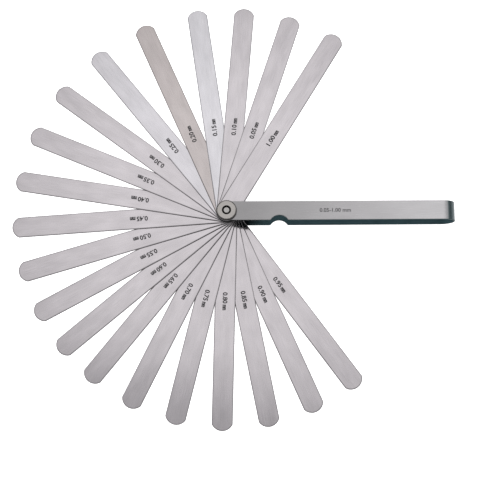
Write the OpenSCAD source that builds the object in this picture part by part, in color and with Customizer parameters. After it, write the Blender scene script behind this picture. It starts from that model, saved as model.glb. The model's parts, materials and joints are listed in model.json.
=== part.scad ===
// Feeler gauge: twenty leaf blades that swing on one pivot screw and fold into a case
// bent from one strip of sheet. Millimetres.
// The origin is on the pivot axis, on the underside of the screw's head. +X runs along the
// case, +Z up through the blades, so every blade turns about the Z axis.

/* [Blades] */
// Length of a blade over its two ends
blade_len = 110; // [80:1:110]
// Width of a blade
blade_w = 10; // [9.5:0.1:11]
// Thickness of the thinnest blade, which is also the step to the next one
blade_step = 0.05; // [0.04:0.01:0.06]
// Radius of the rounded tip
tip_r = 5.5; // [5.5:0.1:8]
// Free height left beside each blade
play = 0.05; // [0.05:0.01:0.1]

/* [Case] */
// Width of the strip that the case is bent from
case_w = 9.3; // [8:0.1:9.5]
// Thickness of the strip
sheet = 0.8; // [0.6:0.1:1.2]
// Length from the pivot axis to the outside of the bend
case_reach = 111; // [111:0.1:118]
// Distance from the pivot axis to the middle of the thumb notch
notch_x = 25.5; // [20:0.5:60]
// Radius of the thumb notch
notch_r = 5; // [4:0.1:8]
// Depth of the thumb notch, from the edge of the strip
notch_depth = 2.4; // [1.5:0.1:3]

/* [Pivot] */
// Diameter of the screw's head
head_d = 9; // [8:0.1:12]
// Height of the screw's head
head_h = 1.6; // [1.4:0.1:3]
// Diameter of the plain shank that the blades turn on
shank_d = 4; // [3.5:0.1:5]
// Diameter of the threaded end
thread_d = 3; // [2.5:0.1:3]
// Diameter of the clamp nut
nut_d = 9.8; // [8:0.1:12]
// Height of the clamp nut
nut_h = 1.3; // [1.2:0.1:4]
// Diameter of the washer under the nut
washer_d = 9; // [8:0.1:12]
// Thickness of the washer
washer_t = 0.4; // [0.3:0.1:1]

/* [Hidden] */
$fn = 96;

// Radial clearance of every hole on the pivot
run_gap = 0.05;
bore_r = shank_d / 2 + run_gap;

// Blades are numbered by thickness, from 1, the thinnest, to blade_n, the thickest.
// The thickest lies on top. Below it the others follow from the thinnest down.
blade_n = 20;

// The blades are fanned out in the order that they lie in, from the top down. In degrees, the
// first steps are even, the next start wide and close up blade by blade, and the rest are even.
fan_start = 58.5;
first_steps = 3;
first_step = 13.3;
wide_steps = 10;
wide_step = 15.5;
closing = 0.5;
last_step = 12.6;

// Heights, from the bottom up
inner_h = blade_step * blade_n * (blade_n + 1) / 2 + play * (blade_n + 1);
case_h = inner_h + 2 * sheet;
floor_z = head_h + sheet;
case_top = head_h + case_h;
nut_z = case_top + washer_t + play;
nut_top = nut_z + nut_h;

// Case
end_r = case_w / 2;
bend_x = case_reach - case_h / 2;
notch_y = -case_w / 2 - notch_r + notch_depth;

// Recesses: a cross in the screw's head, and the nut's counterbore
cross_len = 4.6;
cross_w = 0.9;
cross_depth = 1;
cb_r = 2.15;
cb_depth = 0.6;

// Bevels of the nut's top edge, the screw's head and the screw's end
nut_bevel = 0.6;
head_bevel = 0.4;
end_bevel = 0.2;
end_recess = 0.3;

// Length that a cutting shape runs past the face it cuts
over = 1;

steel = [0.80, 0.77, 0.79];
sheet_steel = [0.68, 0.68, 0.67];
plated = [0.72, 0.71, 0.69];

function thickness(k) = k * blade_step;
function number_below(k) = k == blade_n ? blade_n - 1 : blade_n - 1 - k;
function steps_below(k) = (blade_n * (blade_n - 1) - (k == blade_n ? 0 : k * (k + 1))) / 2;
function level(k) = floor_z + play + steps_below(k) * blade_step + number_below(k) * play;

// Direction of blade k from +X: the even first steps, the closing ones, then the even last ones
function closing_turn(n) = n * wide_step - closing * n * (n - 1) / 2;
function fan(k) =
    let (
        place = k == blade_n ? 0 : k,
        past_first = max(place - first_steps, 0),
        past_wide = max(past_first - wide_steps, 0)
    )
    fan_start
        + first_step * min(place, first_steps)
        + closing_turn(past_first - past_wide)
        + last_step * past_wide;

// blade_0_05 is the blade that is 0.05 mm thick in the standard set
function two_digits(n) = str(n < 10 ? "0" : "", n);
function blade_name(k) = str("blade_", floor(k / 20), "_", two_digits(5 * k % 100));

// ---- blades ----

module tip_outline() {
    tip_x = blade_len - blade_w / 2;
    intersection() {
        translate([0, -blade_w / 2]) square([tip_x, blade_w]);
        translate([tip_x - tip_r, 0]) circle(r = tip_r);
    }
}

module blade_outline() {
    corner_x = blade_len - blade_w / 2 - tip_r + sqrt(pow(tip_r, 2) - pow(blade_w / 2, 2));
    difference() {
        union() {
            circle(d = blade_w);
            translate([0, -blade_w / 2]) square([corner_x, blade_w]);
            tip_outline();
        }
        circle(r = bore_r);
    }
}

module blade(k) {
    color(steel)
        translate([0, 0, level(k)])
            rotate([0, 0, fan(k)])
                linear_extrude(thickness(k)) blade_outline();
}

// ---- case ----

// Side view of the bent strip, from x = -end_r to the bend, with z up the page
module hairpin(height) {
    translate([-end_r - over, -height / 2]) square([bend_x + end_r + over, height]);
    translate([bend_x, 0]) circle(d = height);
}

// Top view of the strip: a round pivot end, straight sides and the thumb notch
module strip_outline() {
    difference() {
        union() {
            circle(d = case_w);
            translate([0, -case_w / 2]) square([case_reach + over, case_w]);
        }
        translate([notch_x, notch_y]) circle(r = notch_r);
        circle(r = bore_r);
    }
}

module case() {
    color(sheet_steel)
        intersection() {
            translate([0, 0, head_h - over]) linear_extrude(case_h + 2 * over) strip_outline();
            translate([0, 0, head_h + case_h / 2])
                rotate([90, 0, 0])
                    linear_extrude(case_w + 2 * over, center = true)
                        difference() {
                            hairpin(case_h);
                            hairpin(inner_h);
                        }
        }
}

// ---- pivot ----

module cross_recess() {
    for (turn = [0, 90])
        rotate([0, 0, turn])
            translate([-cross_len / 2, -cross_w / 2, -over])
                cube([cross_len, cross_w, cross_depth + over]);
}

module pivot_screw() {
    head_r = head_d / 2;
    shank_r = shank_d / 2;
    thread_r = thread_d / 2;
    shank_top = case_top - play;
    end_z = nut_top - end_recess;
    color(plated)
        difference() {
            rotate_extrude()
                polygon([
                    [0, 0],
                    [head_r - head_bevel, 0],
                    [head_r, head_bevel],
                    [head_r, head_h],
                    [shank_r, head_h],
                    [shank_r, shank_top],
                    [thread_r, shank_top],
                    [thread_r, end_z - end_bevel],
                    [thread_r - end_bevel, end_z],
                    [0, end_z]
                ]);
            cross_recess();
        }
}

module washer() {
    color(plated)
        translate([0, 0, case_top])
            difference() {
                cylinder(h = washer_t, d = washer_d);
                translate([0, 0, -over]) cylinder(h = washer_t + 2 * over, r = thread_d / 2 + run_gap);
            }
}

module clamp_nut() {
    nut_r = nut_d / 2;
    hole_r = thread_d / 2 + run_gap;
    color(plated)
        translate([0, 0, nut_z])
            rotate_extrude()
                polygon([
                    [hole_r, 0],
                    [nut_r, 0],
                    [nut_r, nut_h - nut_bevel],
                    [nut_r - nut_bevel, nut_h],
                    [cb_r, nut_h],
                    [cb_r, nut_h - cb_depth],
                    [hole_r, nut_h - cb_depth]
                ]);
}

case();
pivot_screw();
washer();
clamp_nut();
for (k = [1:blade_n])
    blade(k);
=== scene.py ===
"""Looks for the feeler gauge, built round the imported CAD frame. Blender units are metres."""

import json
import math

import bmesh
import bpy
from mathutils import Matrix, Vector, geometry


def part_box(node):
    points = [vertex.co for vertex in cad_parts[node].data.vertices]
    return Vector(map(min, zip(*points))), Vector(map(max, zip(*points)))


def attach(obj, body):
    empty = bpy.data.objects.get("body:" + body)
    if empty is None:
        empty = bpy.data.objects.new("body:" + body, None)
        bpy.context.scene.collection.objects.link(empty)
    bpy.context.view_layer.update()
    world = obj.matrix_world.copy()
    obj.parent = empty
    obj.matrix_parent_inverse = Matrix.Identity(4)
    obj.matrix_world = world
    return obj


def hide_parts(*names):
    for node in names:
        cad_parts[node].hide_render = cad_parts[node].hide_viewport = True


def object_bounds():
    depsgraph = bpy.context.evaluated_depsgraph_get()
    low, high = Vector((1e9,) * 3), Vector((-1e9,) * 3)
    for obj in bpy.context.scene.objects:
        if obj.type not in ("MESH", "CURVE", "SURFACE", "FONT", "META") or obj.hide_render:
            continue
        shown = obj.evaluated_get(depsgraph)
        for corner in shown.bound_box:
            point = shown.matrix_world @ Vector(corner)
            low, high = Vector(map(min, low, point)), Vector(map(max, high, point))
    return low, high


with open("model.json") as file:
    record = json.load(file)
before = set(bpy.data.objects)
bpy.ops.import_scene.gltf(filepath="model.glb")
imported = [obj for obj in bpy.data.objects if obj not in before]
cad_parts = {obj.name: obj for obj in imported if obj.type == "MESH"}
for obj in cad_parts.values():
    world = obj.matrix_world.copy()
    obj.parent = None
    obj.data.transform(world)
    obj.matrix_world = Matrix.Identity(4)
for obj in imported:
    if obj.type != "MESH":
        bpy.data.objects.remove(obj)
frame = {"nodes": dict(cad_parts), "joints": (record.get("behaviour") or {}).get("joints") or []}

CAD_BOX = [list(corner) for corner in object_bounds()]
MM = 0.001
UV_PER_MM = 0.1  # the grain UV map is in centimetres
SAME_POINT = 1e-6  # mm within which two points of an outline are one

# ---- sizes, in millimetres ----

# Blades
TIP_R = 5.5
BLADE_RIM = 0.55  # width of the border that finishing has rounded down
BORE_RIM = 0.3  # width of the border round the pivot hole, as a share of that
RIM_DROP = 0.012  # how far the border falls
BLADE_EDGE = 0.07  # radius of a thick blade's edge
DROP_SHARE, EDGE_SHARE = 0.15, 0.4  # the most of a thin blade's thickness that drop and edge take
INSIDE = 0.01  # how far a blade's tip stays inside the CAD's

# Case
SHEET = 0.8
NOTCH_X = 25.5
NOTCH_R = 5.0
NOTCH_DEPTH = 2.4
NOTCH_FILLET = 0.9
CASE_EDGE = 0.14  # radius of the strip's edges
FLAT_BORDER = 0.12  # strip of flat face beside a rounded edge, which keeps the shading of the face flat
INNER_SHARE = 0.6  # share of an edge's radius that takes the inner faces' painted shade
BEND_EASE = 0.5  # straight strip on each side of the bend that has faces of its own
BEND_FADE = (1.2, 2.9)  # how far past the start of the bend its painted shade begins, and is full
BEND_WAVER = 0.4  # how far the start of that painted shade strays

# Where the marks lie along a blade, and how high the figures and the unit are
MARK_START = 38.6
FIGURES_LONG = 5.5
FIGURES_HIGH = 2.4
UNIT_GAP = 0.55
UNIT_LONG = 2.75
UNIT_HIGH = 1.65
MARK_PROUD = 0.008
WELD = 0.0001  # points of a mark closer than this are one
FIGURES_BOLD, UNIT_BOLD, LEGEND_BOLD = 0.032, 0.060, 0.012  # stroke thickening, in font units
LEGEND = "0.05-1.00 mm"
LEGEND_START = 45.0
LEGEND_LONG = 15.0
LEGEND_HIGH = 1.9

# Pivot
THREAD_R = 1.5
THREAD_GAP = 0.05
COUNTERBORE_R = 2.15
COUNTERBORE_DEPTH = 0.6
COUNTERBORE_EDGE = 0.12  # bevel at its mouth
NUT_FOOT = 0.15  # bevel at the nut's foot
NUT_BEVEL = 0.6  # bevel at its top
SIDE_BORDER, FACE_BORDER = 0.05, 0.08  # strips of the nut's side and face beside that bevel
WASHER_EDGE = 0.1

# How finely curves are divided
ARC_STEPS = 24
FILLET_STEPS = 6
EDGE_STEPS = 4
BEND_STEPS = 32
TURN_STEPS = 96
LETTER_STEPS = 3
SHARP_ANGLE = 25  # degrees between two faces of a turned piece, above which their edge is shaded sharp

# ---- looks. A pair is the two ends of what a noise varies. ----

# Blades. Three are of other batches: two bluish and bright, one brown.
STEEL = (0.508, 0.481, 0.497)
TONES = {
    "0_15": (1.12, 1.16, 1.17),
    "0_20": (0.88, 0.85, 0.81),
    "0_25": (1.10, 1.13, 1.14),
}
STEEL_VARIES = (0.85, 1.12)
BLADE_GLOSS = (0.09, 0.14)  # roughness between and in the scratches
RIM_SHADE_TONE = 0.30  # the cut edges, against the faces: painted shade for their dark reflections and the shadow between stacked blades
BUTT_SHADE_TONE = 0.03  # painted shade on the cut edges round the pivot, near black for the shadowed stack of butt ends
BUTT_SHADE_SPAN = (1.2, 3.0)  # where that painted shade near the pivot gives way to the edges' lighter painted shade, along the grain map
TIP_TONE = 0.82  # a blade is duller towards its tip
TIP_SPAN = (5.5, 10.5)  # where it turns duller, along the grain map
SEED_PER_MM = 37  # a blade's thickness times this takes it to its own part of the noises

# Case
# Painted light on the case's outer face: darker near the pivot and brighter towards the bend, for how the
# reflected light falls along it
CASE_NEAR = ((0.240, 0.235, 0.238, 1), (0.281, 0.276, 0.279, 1))
CASE_FAR = ((0.43, 0.422, 0.429, 1), (0.50, 0.492, 0.500, 1))
CASE_SPAN = (0.01, 0.10)  # where the painted darker tone near the pivot turns into the painted brighter one, in metres from the pivot
# Painted shade on the case's cut edges and on the bend where it turns away from the light
CASE_DARK = ((0.030, 0.045, 0.048, 1), (0.060, 0.078, 0.082, 1))
CASE_GLOSS = (0.20, 0.28)
# Painted shade: the inner faces of the hairpin, dark teal for the shade between the cheeks
INNER = ((0.040, 0.076, 0.086, 1), (0.082, 0.140, 0.157, 1))
INNER_SHADOW = (0.006, 0.010, 0.012, 1)
INNER_GLOSS = (0.5, 0.65)
INNER_SHADOW_SPAN = (0.010, 0.018)  # where the painted black shadow on the inner faces ends, in metres from the pivot

# Pivot
NUT_COLOUR, NUT_GLOSS = (0.36, 0.344, 0.328), (0.22, 0.30)
WASHER_COLOUR, WASHER_GLOSS = (0.30, 0.29, 0.28), (0.30, 0.38)
PLATED_VARIES = (0.90, 1.08)
PLATED_SHADE = 0.04  # painted shade: the nut's side, its counterbore and the washer's edges are darkened where shade falls
SCREW, SCREW_GLOSS = ((0.33, 0.32, 0.31, 1), (0.42, 0.41, 0.40, 1)), (0.26, 0.36)

# Marks and floor
ETCHED, ETCHED_GLOSS = ((0.012, 0.011, 0.013, 1), (0.040, 0.036, 0.040, 1)), (0.55, 0.75)
FLOOR = ((0.88, 0.88, 0.88, 1), (0.91, 0.91, 0.91, 1))
FLOOR_ROUGH, FLOOR_SPECULAR = 0.9, 0.1

EDGE_ROUGHER = 0.45  # how much rougher a cut edge is than the face beside it
BRUSHED, TURNED = 0.5, 0.4  # anisotropy of the two ways of working steel
SCRATCH_DEPTH = 0.00001  # in metres
NOISE_LOW, NOISE_HIGH = 0.3, 0.7  # where nearly all of a noise lies

# ---- camera and light ----

# How the object is turned before the camera, and where the foot of the pivot then lies, in millimetres
CAMERA_TILT = math.radians(-11.45)
CAMERA_YAW = math.radians(-1.15)
CAMERA_ROLL = math.radians(0.32)
PIVOT_SEEN = (-5.70, 11.30, -558.52)
SENSOR = 36.0
LENS = 84.35
CLIP_START = 0.01  # in metres

# Lamps: name, place and side in metres, and radiance. The flat faces mirror the first one to the camera.
LAMPS = [
    ("key", (0.10, 0.38, 0.95), 0.9, 0.36),
    ("left", (-1.35, 0.20, 0.75), 1.1, 0.5),
    ("far", (-0.10, 1.50, 0.65), 1.1, 0.7),
    ("right", (1.30, 0.45, 0.80), 0.8, 0.7),
    ("near", (0.20, -1.15, 1.05), 0.8, 0.75),
]
LAMP_COLOUR = (1.0, 0.99, 0.98)
SKY_COLOUR = (0.985, 0.985, 1.0, 1.0)
SKY_SIDE = (-0.12, 0.70, 0.45)
SKY_LOW, SKY_HIGH = 0.10, 1.00
FLOOR_HALF = 4.0  # half the floor's side, in metres
FLOOR_GLOW = 1.0  # light that the floor lets through from below, as a light table does


# ---- plane outlines, each a function of how far it is inset ----

def arc(centre, radius, start, end, steps=ARC_STEPS):
    """Points on an arc from angle start to angle end, both in degrees and both included."""
    turn = [math.radians(start + (end - start) * i / steps) for i in range(steps + 1)]
    return [(centre[0] + radius * math.cos(a), centre[1] + radius * math.sin(a)) for a in turn]


def circle(centre, radius):
    """Points round a circle, clockwise, as the edge of a hole."""
    return arc(centre, radius, 0, -360, TURN_STEPS)[:-1]


def blade_outline(reach, width):
    """Round butt end on the pivot, straight sides, and a tip of radius TIP_R at x = reach."""
    def outline(inset):
        half = width / 2 - inset
        corner = math.degrees(math.asin(half / (TIP_R - inset)))
        tip = arc((reach - TIP_R, 0), TIP_R - inset, -corner, corner)
        return tip + arc((0, 0), half, 90, 270)
    return outline


def notch_edge(middle, width, inset):
    """The thumb notch in a strip's lower edge, with its rounded corners, from left to right."""
    floor = -width / 2 - NOTCH_R + NOTCH_DEPTH
    fillet_y = -width / 2 + NOTCH_FILLET
    reach = NOTCH_R + NOTCH_FILLET
    fillet_x = math.sqrt(reach ** 2 - (fillet_y - floor) ** 2)
    lean = math.degrees(math.atan2(fillet_y - floor, fillet_x))
    left = arc((middle - fillet_x, fillet_y), NOTCH_FILLET - inset, -90, -lean, FILLET_STEPS)
    bottom = arc((middle, floor), NOTCH_R + inset, 180 - lean, lean)
    right = arc((middle + fillet_x, fillet_y), NOTCH_FILLET - inset, lean - 180, -90, FILLET_STEPS)
    return left + bottom[1:-1] + right


def strip_outline(length, width, stations):
    """The case laid flat: round ends at 0 and at length, a notch near each, a point at each station."""
    def outline(inset):
        half = width / 2 - inset
        lower = notch_edge(NOTCH_X, width, inset)
        lower += [(s, -half) for s in stations]
        lower += notch_edge(length - NOTCH_X, width, inset)
        upper = [(s, half) for s in reversed(stations)]
        return arc((0, 0), half, 90, 270) + lower + arc((length, 0), half, -90, 90) + upper
    return outline


def inside(point, loops):
    """Even-odd test of a point against closed loops."""
    x, y = point
    crossings = 0
    for loop in loops:
        for (x0, y0), (x1, y1) in zip(loop, loop[1:] + loop[:1]):
            if (y0 > y) != (y1 > y) and x < x0 + (y - y0) / (y1 - y0) * (x1 - x0):
                crossings += 1
    return crossings % 2 == 1


def fill(loops, ties):
    """Triangles that fill the loops, as indices into their points taken in order. ties are extra edges."""
    points = [p for loop in loops for p in loop]
    edges, first = list(ties), 0
    for loop in loops:
        edges += [(first + i, first + (i + 1) % len(loop)) for i in range(len(loop))]
        first += len(loop)
    made = geometry.delaunay_2d_cdt([Vector(p) for p in points], edges, [], 0, SAME_POINT, True)
    origin = [ids[0] for ids in made[3]]
    triangles = []
    for face in made[2]:
        corners = [origin[i] for i in face]
        middle = [sum(points[c][axis] for c in corners) / 3 for axis in (0, 1)]
        if inside(middle, loops):
            triangles.append(corners)
    return triangles


# ---- meshes ----

def make_object(name, vertices, faces, grain, rim, smooth):
    """A mesh object. vertices are in mm; grain holds a UV and rim a number for each vertex."""
    mesh = bpy.data.meshes.new(name)
    mesh.from_pydata([Vector(v) * MM for v in vertices], [], faces)
    uv = mesh.uv_layers.new(name="grain")
    for corner in mesh.loops:
        uv.data[corner.index].uv = grain[corner.vertex_index]
    mesh.attributes.new("rim", "FLOAT", "POINT").data.foreach_set("value", rim)
    mesh.polygons.foreach_set("use_smooth", smooth)
    mesh.update()
    mesh.validate()
    piece = bpy.data.objects.new(name, mesh)
    bpy.context.scene.collection.objects.link(piece)
    return piece


def plate(name, outlines, profile, place, ties=(), smooth_faces=False):
    """A closed plate. Each outline is a loop for an inset; profile lists (inset, height, rim) from
    the lower face to the upper one; place puts (x, y, height) in the frame, in mm."""
    vertices, grain, rim, levels = [], [], [], []
    for inset, height, rim_value in profile:
        loops = [outline(inset) for outline in outlines]
        levels.append(loops)
        for loop in loops:
            for x, y in loop:
                vertices.append(place(x, y, height))
                grain.append((x * UV_PER_MM, y * UV_PER_MM))
                rim.append(rim_value)
    per_level = sum(len(loop) for loop in levels[0])
    faces, smooth = [], []
    for level in range(len(profile) - 1):
        first = level * per_level
        for loop in levels[0]:
            for i in range(len(loop)):
                a, b = first + i, first + (i + 1) % len(loop)
                faces.append((a, b, b + per_level, a + per_level))
                smooth.append(True)
            first += len(loop)
    top = (len(profile) - 1) * per_level
    for a, b, c in fill(levels[0], ties):
        faces.append((a, c, b))
        smooth.append(smooth_faces)
    for a, b, c in fill(levels[-1], ties):
        faces.append((top + a, top + b, top + c))
        smooth.append(smooth_faces)
    return make_object(name, vertices, faces, grain, rim, smooth)


def turned(name, sections, base):
    """A turned solid about the Z axis. sections lists (radius, height, rim) round its closed section,
    with the solid on the left; base is added to each height."""
    vertices, grain, rim, faces = [], [], [], []
    count, path = len(sections), 0.0
    for i, (radius, height, rim_value) in enumerate(sections):
        if i:
            path += math.dist(sections[i - 1][:2], (radius, height))
        for step in range(TURN_STEPS):
            a = 2 * math.pi * step / TURN_STEPS
            vertices.append((radius * math.cos(a), radius * math.sin(a), base + height))
            grain.append((abs(a - math.pi) * radius * UV_PER_MM, path * UV_PER_MM))
            rim.append(rim_value)
    for i in range(count):
        for step in range(TURN_STEPS):
            across = (step + 1) % TURN_STEPS
            a, b = i * TURN_STEPS, (i + 1) % count * TURN_STEPS
            faces.append((a + step, a + across, b + across, b + step))
    piece = make_object(name, vertices, faces, grain, rim, [True] * len(faces))
    mark_sharp(piece.data)
    return piece


def mark_sharp(mesh):
    """Edges between faces that meet at more than SHARP_ANGLE are shaded sharp."""
    limit = math.cos(math.radians(SHARP_ANGLE))
    normals = {}
    for face in mesh.polygons:
        for edge in face.edge_keys:
            normals.setdefault(edge, []).append(face.normal.copy())
    for edge in mesh.edges:
        sides = normals.get(tuple(sorted(edge.vertices)), [])
        if len(sides) == 2 and sides[0].dot(sides[1]) < limit:
            edge.use_edge_sharp = True


def lettering(name, words, place):
    """Flat lettering. words lists (text, start, length, height, bold) in mm along one base line, bold
    being how far the strokes are thickened; place puts (x, y, height) in the frame."""
    vertices, faces = [], []
    for text, start, length, high, bold in words:
        curve = bpy.data.curves.new(name, "FONT")
        curve.body = text
        curve.offset = bold
        curve.extrude = 0.5  # any depth will do, as every size is set below
        curve.resolution_u = LETTER_STEPS
        holder = bpy.data.objects.new(name, curve)
        bpy.context.scene.collection.objects.link(holder)
        bpy.context.view_layer.update()
        shape = holder.evaluated_get(bpy.context.evaluated_depsgraph_get()).to_mesh()
        low = [min(v.co[axis] for v in shape.vertices) for axis in range(3)]
        size = [max(v.co[axis] for v in shape.vertices) - low[axis] for axis in range(3)]
        first = len(vertices)
        for v in shape.vertices:
            x = start + (v.co.x - low[0]) / size[0] * length
            y = (v.co.y - low[1]) / size[1] * high
            vertices.append(place(x, y, (v.co.z - low[2]) / size[2] * MARK_PROUD))
        faces += [tuple(first + i for i in face.vertices) for face in shape.polygons]
        bpy.data.objects.remove(holder)
        bpy.data.curves.remove(curve)
    grain = [(v[0] * UV_PER_MM, v[1] * UV_PER_MM) for v in vertices]
    piece = make_object(name, vertices, faces, grain, [0.0] * len(vertices), [False] * len(faces))
    weld(piece.data)
    return piece


def weld(mesh):
    """Joins points that coincide, which closes the letters."""
    work = bmesh.new()
    work.from_mesh(mesh)
    bmesh.ops.remove_doubles(work, verts=work.verts, dist=WELD * MM)
    work.to_mesh(mesh)
    work.free()


# ---- materials ----

class Shader:
    """A material's node tree, with short calls for the nodes that the materials here use."""

    def __init__(self, name):
        self.material = bpy.data.materials.new(name)
        self.material.use_nodes = True
        self.tree = self.material.node_tree
        self.bsdf = self.tree.nodes["Principled BSDF"]

    def node(self, kind, **inputs):
        made = self.tree.nodes.new(kind)
        for key, value in inputs.items():
            self.put(value, made.inputs[key.replace("_", " ")])
        return made

    def put(self, value, socket):
        if isinstance(value, bpy.types.NodeSocket):
            self.tree.links.new(value, socket)
        else:
            socket.default_value = value

    def math(self, operation, a, b):
        made = self.tree.nodes.new("ShaderNodeMath")
        made.operation = operation
        for value, socket in zip((a, b), made.inputs):
            self.put(value, socket)
        return made.outputs[0]

    def ramp(self, value, low, high, out_low=0.0, out_high=1.0):
        made = self.tree.nodes.new("ShaderNodeMapRange")
        for place, number in enumerate((value, low, high, out_low, out_high)):
            self.put(number, made.inputs[place])
        return made.outputs[0]

    def spread(self, noise, low=0.0, high=1.0):
        """A noise brought to the range from low to high."""
        return self.ramp(noise, NOISE_LOW, NOISE_HIGH, low, high)

    def both(self, one, other):
        """The mean of two noises, from 0 to 1."""
        total = self.math("ADD", self.spread(one, -0.5, 0.5), self.spread(other, -0.5, 0.5))
        return self.ramp(total, -1.0, 1.0)

    def mix(self, factor, a, b):
        made = self.tree.nodes.new("ShaderNodeMix")
        made.data_type = "RGBA"
        for value, socket in zip((factor, a, b), (made.inputs[0], made.inputs[6], made.inputs[7])):
            self.put(value, socket)
        return made.outputs[2]

    def grain(self):
        made = self.tree.nodes.new("ShaderNodeUVMap")
        made.uv_map = "grain"
        return made.outputs[0]

    def place(self):
        """The point's place in the frame, in metres."""
        return self.node("ShaderNodeTexCoord").outputs["Object"]

    def first(self, vector):
        """A vector's first component."""
        return self.node("ShaderNodeSeparateXYZ", Vector=vector).outputs[0]

    def noise(self, vector, scale, stretch=(1, 1, 1), shift=(0, 0, 0), detail=3.0):
        mapping = self.node("ShaderNodeMapping", Vector=vector)
        mapping.inputs["Scale"].default_value = stretch
        mapping.inputs["Location"].default_value = shift
        made = self.node("ShaderNodeTexNoise", Vector=mapping.outputs[0], Scale=scale, Detail=detail)
        return made.outputs[0]

    def rim(self):
        made = self.tree.nodes.new("ShaderNodeAttribute")
        made.attribute_name = "rim"
        return made.outputs["Fac"]

    def roughened(self, roughness):
        """The face's roughness, which rises to a cut edge's where the rim is full."""
        return self.math("ADD", roughness, self.math("MULTIPLY", self.rim(), EDGE_ROUGHER))

    def scratch(self, height, strength):
        made = self.node("ShaderNodeBump", Height=height, Distance=SCRATCH_DEPTH, Strength=strength)
        self.put(made.outputs[0], self.bsdf.inputs["Normal"])

    def metal(self, colour, roughness, anisotropy=0.0):
        self.put(colour, self.bsdf.inputs["Base Color"])
        self.put(roughness, self.bsdf.inputs["Roughness"])
        self.bsdf.inputs["Metallic"].default_value = 1.0
        if anisotropy:
            self.bsdf.inputs["Anisotropic"].default_value = anisotropy
            tangent = self.tree.nodes.new("ShaderNodeTangent")
            tangent.direction_type = "UV_MAP"
            tangent.uv_map = "grain"
            self.put(tangent.outputs[0], self.bsdf.inputs["Tangent"])


def scaled(colour, factor):
    return (colour[0] * factor, colour[1] * factor, colour[2] * factor, 1.0)


def ground_steel(name, colour, seed):
    """A ground blade: fine scratches along it, soft blotches, and a rounded border darkened with painted
    shade.
    """
    s = Shader(name)
    uv = s.grain()
    scratches = s.noise(uv, 1.0, stretch=(1.2, 60.0, 1.0), shift=(seed, seed * 0.37, 0), detail=5.0)
    blotches = s.noise(uv, 1.4, stretch=(0.6, 1.6, 1.0), shift=(seed * 0.7, seed, 0))
    tone = s.both(scratches, blotches)
    along = s.first(uv)
    dull, clean = STEEL_VARIES
    near = s.mix(tone, scaled(colour, dull), scaled(colour, clean))
    far = s.mix(tone, scaled(colour, dull * TIP_TONE), scaled(colour, clean * TIP_TONE))
    body = s.mix(s.ramp(along, *TIP_SPAN), near, far)
    # painted shade: the cut edges darker than the faces, and near black round the pivot
    edge = s.mix(s.ramp(along, *BUTT_SHADE_SPAN), scaled(colour, BUTT_SHADE_TONE), scaled(colour, RIM_SHADE_TONE))
    s.metal(s.mix(s.rim(), body, edge), s.roughened(s.spread(scratches, *BLADE_GLOSS)), BRUSHED)
    s.scratch(scratches, 0.35)
    return s.material


def case_steel(bend_x):
    """The case strip: its outer faces are brushed, with painted light that brightens them towards the
    bend; its cut edges and the bend are painted dark as shade.
    """
    s = Shader("case_steel")
    uv = s.grain()
    along = s.first(s.place())
    lines = s.noise(uv, 1.0, stretch=(1.0, 55.0, 1.0), detail=5.0)
    cloud = s.noise(uv, 0.8, stretch=(0.8, 2.0, 1.0))
    tone = s.both(lines, cloud)
    # painted light: the outer face darker near the pivot, brighter towards the bend
    bright = s.mix(s.ramp(along, *CASE_SPAN), s.mix(tone, *CASE_NEAR), s.mix(tone, *CASE_FAR))
    dark = s.mix(cloud, *CASE_DARK)
    waver = s.math("MULTIPLY", s.math("SUBTRACT", cloud, 0.5), BEND_WAVER * MM)
    start, end = ((bend_x + past) * MM for past in BEND_FADE)
    # painted shade on the bend, starting a little past where it begins to turn
    scale = s.ramp(s.math("ADD", along, waver), start, end)
    colour = s.mix(s.rim(), s.mix(scale, bright, dark), dark)
    s.metal(colour, s.roughened(s.spread(lines, *CASE_GLOSS)), BRUSHED)
    s.scratch(lines, 0.3)
    return s.material


def inner_shade_paint():
    """The strip's inner faces in painted shade: blue-black, dull, a little uneven, and a painted black
    shadow near the pivot.
    """
    s = Shader("inner_shade_paint")
    cloud = s.noise(s.grain(), 2.0, stretch=(1, 2, 1), detail=4.0)
    clean = s.mix(cloud, *INNER)
    # painted shade, near black close to the pivot for the shadow under the cheek
    colour = s.mix(s.ramp(s.first(s.place()), *INNER_SHADOW_SPAN), INNER_SHADOW, clean)
    s.metal(colour, s.spread(cloud, *INNER_GLOSS))
    return s.material


def plated_steel(name, colour, gloss):
    """Turned and plated steel: fine rings round the axis, and edges darkened with painted shade."""
    s = Shader(name)
    rings = s.noise(s.grain(), 1.0, stretch=(0.6, 70.0, 1.0), detail=4.0)
    body = s.mix(s.spread(rings), *[scaled(colour, factor) for factor in PLATED_VARIES])
    # painted shade where the rim is full
    colour = s.mix(s.rim(), body, scaled(colour, PLATED_SHADE))
    s.metal(colour, s.roughened(s.spread(rings, *gloss)), TURNED)
    s.scratch(rings, 0.3)
    return s.material


def screw_steel():
    """The screw is the CAD's own solid, so its grain runs in the frame's coordinates."""
    s = Shader("screw_steel")
    specks = s.noise(s.place(), 900.0, detail=4.0)
    s.metal(s.mix(specks, *SCREW), s.spread(specks, *SCREW_GLOSS))
    s.scratch(specks, 0.3)
    return s.material


def etched_black():
    """Etched marks: near black, matt, worn a little thin in places."""
    s = Shader("etched_black")
    wear = s.noise(s.place(), 1500.0)
    s.put(s.mix(wear, *ETCHED), s.bsdf.inputs["Base Color"])
    s.put(s.spread(wear, *ETCHED_GLOSS), s.bsdf.inputs["Roughness"])
    return s.material


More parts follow.
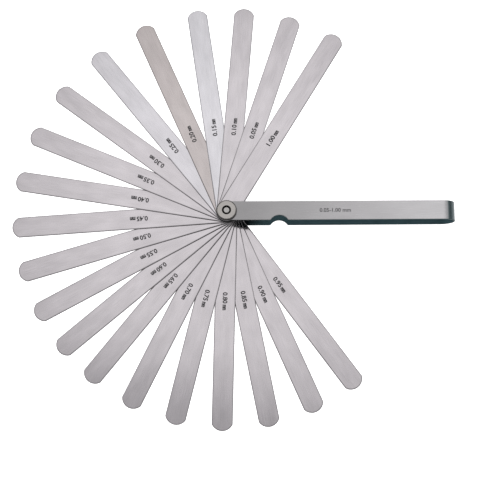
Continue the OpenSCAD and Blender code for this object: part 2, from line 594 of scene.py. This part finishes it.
def floor_paint():
    """The floor: pale, matt, a little cloudy, and lit from below."""
    s = Shader("floor_paint")
    s.put(s.mix(s.noise(s.place(), 6.0), *FLOOR), s.bsdf.inputs["Base Color"])
    s.bsdf.inputs["Roughness"].default_value = FLOOR_ROUGH
    s.bsdf.inputs["Specular IOR Level"].default_value = FLOOR_SPECULAR
    s.bsdf.inputs["Emission Color"].default_value = (1.0, 1.0, 1.0, 1.0)
    s.bsdf.inputs["Emission Strength"].default_value = FLOOR_GLOW
    return s.material


# ---- blades ----

def blade_profile(thick):
    """(inset, height, rim) from the lower face to the upper one of a blade."""
    drop = min(RIM_DROP, DROP_SHARE * thick)
    edge = min(BLADE_EDGE, EDGE_SHARE * thick)
    lower = [(BLADE_RIM, 0.0, 0.0), (BLADE_EDGE, drop, 0.8), (0.0, drop + edge, 1.0)]
    return lower + [(inset, thick - height, rim) for inset, height, rim in reversed(lower)]


def turner(angle):
    """A function that puts a blade's own (x, y, height) in the frame."""
    c, s = math.cos(angle), math.sin(angle)
    return lambda x, y, z: (c * x - s * y, s * x + c * y, z)


def make_blade(joint, marks_material):
    """One blade and its marks. The low limit of its joint folds it along +X, which gives its angle."""
    node = joint["child"]
    size = node.split("_", 1)[1]
    figures = size.replace("_", ".")
    angle = math.radians(-joint["range_deg"][0])
    low, high = (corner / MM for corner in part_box(node))
    along = Vector((math.cos(angle), math.sin(angle), 0))
    across = Vector((-along.y, along.x, 0))
    points = [v.co / MM for v in frame["nodes"][node].data.vertices]
    reach = max(p.dot(along) for p in points) - INSIDE
    width = 2 * max(p.dot(across) for p in points)
    bore = min(p.xy.length for p in points)
    spin = turner(angle)
    piece = plate(
        node + "_ground",
        [blade_outline(reach, width), lambda inset: circle((0, 0), bore + inset * BORE_RIM)],
        blade_profile(high.z - low.z),
        lambda x, y, z: spin(x, y, low.z + z),
    )
    tone = [STEEL[i] * TONES.get(size, (1, 1, 1))[i] for i in range(3)]
    piece.data.materials.append(ground_steel("steel_" + size, tone, float(figures) * SEED_PER_MM))
    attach(piece, node)
    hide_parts(node)

    base = -FIGURES_HIGH / 2
    unit_start = MARK_START + FIGURES_LONG + UNIT_GAP
    words = [
        (figures, MARK_START, FIGURES_LONG, FIGURES_HIGH, FIGURES_BOLD),
        ("mm", unit_start, UNIT_LONG, UNIT_HIGH, UNIT_BOLD),
    ]
    marks = lettering(node + "_marks", words, lambda x, y, z: spin(x, base + y, high.z + z))
    marks.data.materials.append(marks_material)
    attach(marks, node)


# ---- case ----

def round_edge(radius):
    """(inset, height) down a quarter-round edge, from the face to the side."""
    turn = [math.pi / 2 * i / EDGE_STEPS for i in range(EDGE_STEPS + 1)]
    return [(radius * (1 - math.sin(a)), radius * (1 - math.cos(a))) for a in turn]


def make_case(marks_material):
    """The case's strip, made flat and then bent, and the legend on it."""
    low, high = (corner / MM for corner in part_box("case"))
    width, tall = high.y - low.y, high.z - low.z
    middle_z = (high.z + low.z) / 2
    outer = tall / 2
    bend_x = high.x - outer
    centre_r = outer - SHEET / 2
    bend_long = math.pi * centre_r
    length = 2 * bend_x + bend_long
    bore = min((v.co / MM).xy.length for v in frame["nodes"]["case"].data.vertices)

    def place(s, y, h):
        off = centre_r - SHEET / 2 + h
        if s <= bend_x:
            return (s, y, middle_z + off)
        if s >= bend_x + bend_long:
            return (length - s, y, middle_z - off)
        turn = (s - bend_x) / centre_r
        return (bend_x + off * math.sin(turn), y, middle_z + off * math.cos(turn))

    stations = [bend_x - BEND_EASE]
    stations += [bend_x + bend_long * i / BEND_STEPS for i in range(BEND_STEPS + 1)]
    stations.append(bend_x + bend_long + BEND_EASE)
    strip = strip_outline(length, width, stations)
    holes = [lambda inset, s=s: circle((s, 0), bore + inset) for s in (0, length)]
    flat = strip(0.0)
    ties = [tuple(i for i, p in enumerate(flat) if abs(p[0] - s) < SAME_POINT) for s in stations]
    edge = [(i, h, h / CASE_EDGE) for i, h in round_edge(CASE_EDGE)]
    edge.insert(0, (CASE_EDGE + FLAT_BORDER, 0.0, 0.0))
    profile = edge + [(i, SHEET - h, rim) for i, h, rim in reversed(edge)]
    case = plate("case_strip", [strip] + holes, profile, place, ties, smooth_faces=True)
    case.data.materials.append(case_steel(bend_x))
    case.data.materials.append(inner_shade_paint())
    # faces inside the hairpin take the painted shade
    for face in case.data.polygons:
        if is_inner(face, case.data, bend_x, middle_z, centre_r):
            face.material_index = 1
    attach(case, "case")
    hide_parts("case")

    legend = lettering(
        "case_legend",
        [(LEGEND, LEGEND_START, LEGEND_LONG, LEGEND_HIGH, LEGEND_BOLD)],
        lambda x, y, z: (x, y - LEGEND_HIGH / 2, high.z + z),
    )
    legend.data.materials.append(marks_material)
    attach(legend, "case")


def is_inner(face, mesh, bend_x, middle_z, centre_r):
    """True for faces on the inside of the hairpin."""
    for i in face.vertices:
        p = mesh.vertices[i].co / MM
        reach = math.hypot(max(p.x - bend_x, 0), p.z - middle_z)
        if reach > centre_r - SHEET / 2 + CASE_EDGE * INNER_SHARE:
            return False
    return True


# ---- pivot ----

def make_pivot():
    """The nut and the washer, and the screw's new material. In a section, the third number is the rim,
    which sets how much painted shade a part takes, such as the nut's dark side and counterbore.
    """
    low, high = (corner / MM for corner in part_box("clamp_nut"))
    hole_r, nut_r, tall = THREAD_R + THREAD_GAP, high.x, high.z - low.z
    floor = tall - COUNTERBORE_DEPTH
    nut = turned("clamp_nut_turned", [
        (hole_r, 0.0, 0.6),
        (nut_r - NUT_FOOT, 0.0, 0.6),
        (nut_r, NUT_FOOT, 1.0),
        (nut_r, tall - NUT_BEVEL - SIDE_BORDER, 1.0),
        (nut_r, tall - NUT_BEVEL, 1.0),
        (nut_r - NUT_BEVEL, tall, 0.1),
        (nut_r - NUT_BEVEL - FACE_BORDER, tall, 0.0),
        (COUNTERBORE_R + COUNTERBORE_EDGE, tall, 0.0),
        (COUNTERBORE_R, tall - COUNTERBORE_EDGE, 0.8),
        (COUNTERBORE_R, floor, 1.0),
        (hole_r, floor, 1.0),
    ], low.z)
    nut.data.materials.append(plated_steel("nut_steel", NUT_COLOUR, NUT_GLOSS))
    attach(nut, "clamp_nut")
    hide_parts("clamp_nut")

    low, high = (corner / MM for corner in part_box("washer"))
    thick, washer_r = high.z - low.z, high.x
    washer = turned("washer_turned", [
        (hole_r, 0.0, 0.2),
        (washer_r - WASHER_EDGE, 0.0, 0.5),
        (washer_r, WASHER_EDGE, 0.5),
        (washer_r, thick - WASHER_EDGE, 0.3),
        (washer_r - WASHER_EDGE, thick, 0.0),
        (hole_r, thick, 0.0),
    ], low.z)
    washer.data.materials.append(plated_steel("washer_steel", WASHER_COLOUR, WASHER_GLOSS))
    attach(washer, "case")
    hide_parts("washer")

    screw = frame["nodes"]["pivot_screw"]
    screw.data.materials.clear()
    screw.data.materials.append(screw_steel())


# ---- surroundings ----

def make_floor():
    half, z = FLOOR_HALF, CAD_BOX[0][2]
    mesh = bpy.data.meshes.new("floor")
    corners = [(-half, -half, z), (half, -half, z), (half, half, z), (-half, half, z)]
    mesh.from_pydata(corners, [], [(0, 1, 2, 3)])
    floor = bpy.data.objects.new("floor", mesh)
    bpy.context.scene.collection.objects.link(floor)
    mesh.materials.append(floor_paint())


def make_lamp(name, place, side, radiance):
    """A square lamp that faces the pivot. side is in metres; radiance is what a mirror would see in it."""
    data = bpy.data.lights.new(name, "AREA")
    data.shape = "SQUARE"
    data.size = side
    data.energy = radiance * math.pi * side * side
    data.color = LAMP_COLOUR
    lamp = bpy.data.objects.new(name, data)
    bpy.context.scene.collection.objects.link(lamp)
    lamp.location = place
    lamp.rotation_mode = "QUATERNION"
    lamp.rotation_quaternion = (-Vector(place)).to_track_quat("-Z", "Y")


def make_world():
    """A dim room that is brighter towards SKY_SIDE, so that edges facing the other way stay dark."""
    world = bpy.data.worlds.new("studio")
    bpy.context.scene.world = world
    world.use_nodes = True
    tree = world.node_tree
    direction = tree.nodes.new("ShaderNodeTexCoord").outputs["Generated"]
    along = tree.nodes.new("ShaderNodeVectorMath")
    along.operation = "DOT_PRODUCT"
    along.inputs[1].default_value = Vector(SKY_SIDE).normalized()
    tree.links.new(direction, along.inputs[0])
    level = tree.nodes.new("ShaderNodeMapRange")
    for place, number in enumerate((-1.0, 1.0, SKY_LOW, SKY_HIGH), 1):
        level.inputs[place].default_value = number
    tree.links.new(along.outputs["Value"], level.inputs[0])
    tree.links.new(level.outputs[0], tree.nodes["Background"].inputs["Strength"])
    tree.nodes["Background"].inputs["Color"].default_value = SKY_COLOUR


def make_camera():
    data = bpy.data.cameras.new("camera")
    data.sensor_width = SENSOR
    data.lens = LENS
    data.clip_start = CLIP_START
    camera = bpy.data.objects.new("camera", data)
    bpy.context.scene.collection.objects.link(camera)
    turn = Matrix.Rotation(CAMERA_ROLL, 4, "Z") @ Matrix.Rotation(CAMERA_YAW, 4, "Y")
    turn = turn @ Matrix.Rotation(CAMERA_TILT, 4, "X")
    camera.matrix_world = (Matrix.Translation(Vector(PIVOT_SEEN) * MM) @ turn).inverted()
    bpy.context.scene.camera = camera


make_camera()
black = etched_black()
for hinge in frame["joints"]:
    if hinge["name"].startswith("swing_"):
        make_blade(hinge, black)
make_case(black)
make_pivot()
make_floor()
make_world()
for lamp in LAMPS:
    make_lamp(*lamp)
bpy.context.scene.view_settings.view_transform = "Standard"
